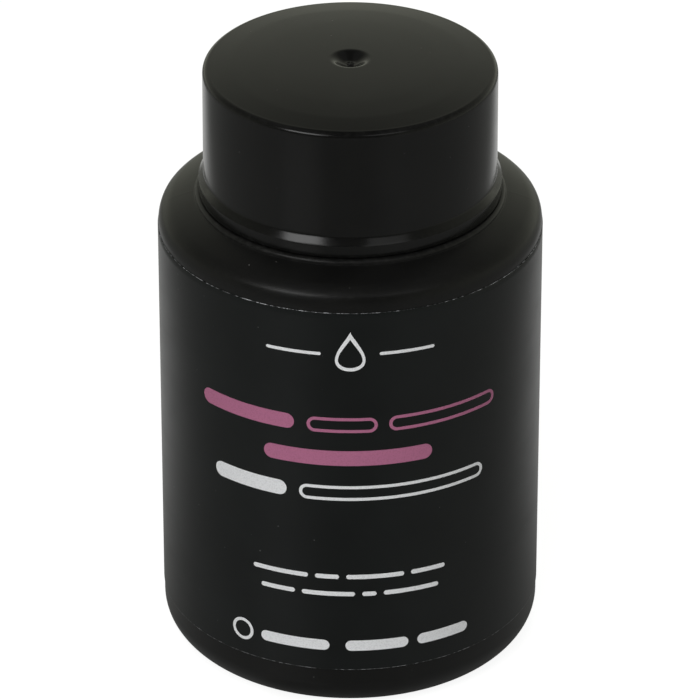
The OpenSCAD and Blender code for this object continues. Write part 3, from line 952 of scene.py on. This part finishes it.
lampPlan = {
    "key": {"azimuth": -37.5, "elevation": 34.5, "away": 1.3, "size": (0.58, 0.37), "radiance": 2.9},
    "fill": {"azimuth": 30, "elevation": 40, "away": 1.3, "size": (0.6, 0.40), "radiance": 0.42},
    # a broad light for the matt surfaces, too wide and even to show in the black ones
    "broad": {"azimuth": -12, "elevation": 52, "away": 2.0, "size": (1.6, 1.6), "radiance": 3.85},
}
lampAim = (0, 0, 0.045)
cameraPlan = {
    "aim": (-0.00003, 0.0, 0.03870), "pivot": (0, 0, 0.040), "elevation": 29.57, "away": 0.7323,
    "lens": 298.7, "sensor": 36, "clip": (0.05, 50),
}


def whiteShare(tree, glossyShare):
    # 1 for camera and transmission rays, a share for glossy rays, 0 for the rest
    rays = tree.nodes.new("ShaderNodeLightPath").outputs
    seen = calc(tree, "MAXIMUM", rays["Is Camera Ray"], rays["Is Transmission Ray"])
    return calc(tree, "MAXIMUM", seen, times(tree, rays["Is Glossy Ray"], glossyShare))


def splitPlace(tree, place):
    # x, y and z of a place or direction
    return addNode(tree, "ShaderNodeSeparateXYZ", {0: place}).outputs[:]


def makeFloor(s):
    # one square that is white to the camera, and takes light and shadow in its own tone
    half = s["floorSize"] / 2
    corners = [(-half, -half, 0), (half, -half, 0), (half, half, 0), (-half, half, 0)]
    mesh = bpy.data.meshes.new("floor")
    mesh.from_pydata(corners, [], [(0, 1, 2, 3)])
    material, tree, shader, place = newMaterial("floor pale", Roughness=s["floorRough"])
    x, y = splitPlace(tree, place)[:2]
    # painted light: its tone changes with the direction from the jar, paler to either side, as the jar's
    # reflections show it; x over the distance is the sine to either side
    distance = calc(tree, "SQRT", plus(tree, times(tree, x, x), times(tree, y, y)))
    sideways = calc(tree, "DIVIDE", x, distance)
    tone = mixColour(tree, softStep(tree, sideways, *s["rightFrom"]), s["floorMiddle"], s["floorRight"])
    tone = mixColour(tree, softStep(tree, sideways, *s["leftFrom"]), tone, s["floorLeft"])
    # painted light: a pool of white glow right behind the jar, which only glossy surfaces see
    beside = softStep(tree, calc(tree, "ABSOLUTE", x), *s["poolHalf"], 1.0, 0.0)
    pool = times(tree, beside, softStep(tree, y, *s["poolDeep"]))
    share = softStep(tree, pool, 0.0, 1.0, s["glossyLeast"], s["glossyMost"])
    strength = times(tree, whiteShare(tree, share), s["floorWhite"])
    feedAll(tree, shader, {"Base Color": tone, "Emission Color": white, "Emission Strength": strength})
    mesh.materials.append(material)
    return addObject("floor", mesh)


def makeSky(s):
    # brightness falls with height, and less of it is left towards the sides and the front
    world = bpy.data.worlds.new("studio")
    bpy.context.scene.world = world
    world.use_nodes = True
    tree = world.node_tree
    x, y, z = splitPlace(tree, tree.nodes.new("ShaderNodeTexCoord").outputs["Generated"])
    ramp = addNode(tree, "ShaderNodeValToRGB", {0: z})
    stops = ramp.color_ramp.elements
    while len(stops) < len(s["skyBySine"]):
        stops.new(0.5)
    for stop, (sine, level) in zip(stops, s["skyBySine"]):
        stop.position = sine
        stop.color = [level * t for t in s["skyTint"]] + [1]
    around = plus(tree, softStep(tree, y, *s["backFrom"], 0.0, 1.0 - s["skySide"]),
                  softStep(tree, y, *s["frontFrom"], s["skyFront"], s["skySide"]),
                  softStep(tree, x, *s["skyRightFrom"], 0.0, s["skyRight"]))
    dimmed = mixColour(tree, 1.0, ramp.outputs[0], around, "MULTIPLY")
    # a faint glow high up on both sides
    beside = softStep(tree, calc(tree, "ABSOLUTE", x), *s["aloftBeside"])
    aloft = times(tree, beside, softStep(tree, z, *s["aloftFrom"], 0.0, s["skyAloft"]))
    dimmed = mixColour(tree, aloft, dimmed, white)
    sky = mixColour(tree, whiteShare(tree, s["skyWhite"]), dimmed, white)
    feed(tree, tree.nodes["Background"].inputs["Color"], sky)


def towards(azimuthDeg, elevationDeg):
    # unit vector: azimuth turns from the front, -Y, towards +X, and elevation lifts it
    a, e = math.radians(azimuthDeg), math.radians(elevationDeg)
    return Vector((math.sin(a) * math.cos(e), -math.cos(a) * math.cos(e), math.sin(e)))


def softbox(name, s):
    # an area lamp aimed at the jar; power is four times radiance times area
    wide, high = s["size"]
    lamp = bpy.data.lights.new(name, "AREA")
    lamp.shape = "RECTANGLE"
    lamp.size, lamp.size_y = wide, high
    lamp.energy = 4 * s["radiance"] * wide * high
    holder = addObject(name, lamp)
    aim = towards(s["azimuth"], s["elevation"])
    holder.location = Vector(lampAim) + aim * s["away"]
    holder.rotation_euler = aim.to_track_quat("Z", "Y").to_euler()
    return holder


def makeCamera(c):
    # stands away from the pivot in its direction and looks at the aim
    camera = bpy.data.cameras.new("camera")
    camera.lens, camera.sensor_width = c["lens"], c["sensor"]
    camera.clip_start, camera.clip_end = c["clip"]
    holder = addObject("camera", camera)
    holder.location = Vector(c["pivot"]) + towards(0, c["elevation"]) * c["away"]
    holder.rotation_euler = (holder.location - Vector(c["aim"])).to_track_quat("Z", "Y").to_euler()
    bpy.context.scene.camera = holder


makeFloor(studio)
makeSky(studio)
lamps = {name: softbox(name, plan) for name, plan in lampPlan.items()}
lamps["broad"].visible_glossy = False
makeCamera(cameraPlan)
bpy.context.scene.view_settings.view_transform = "Standard"
print("studio done")
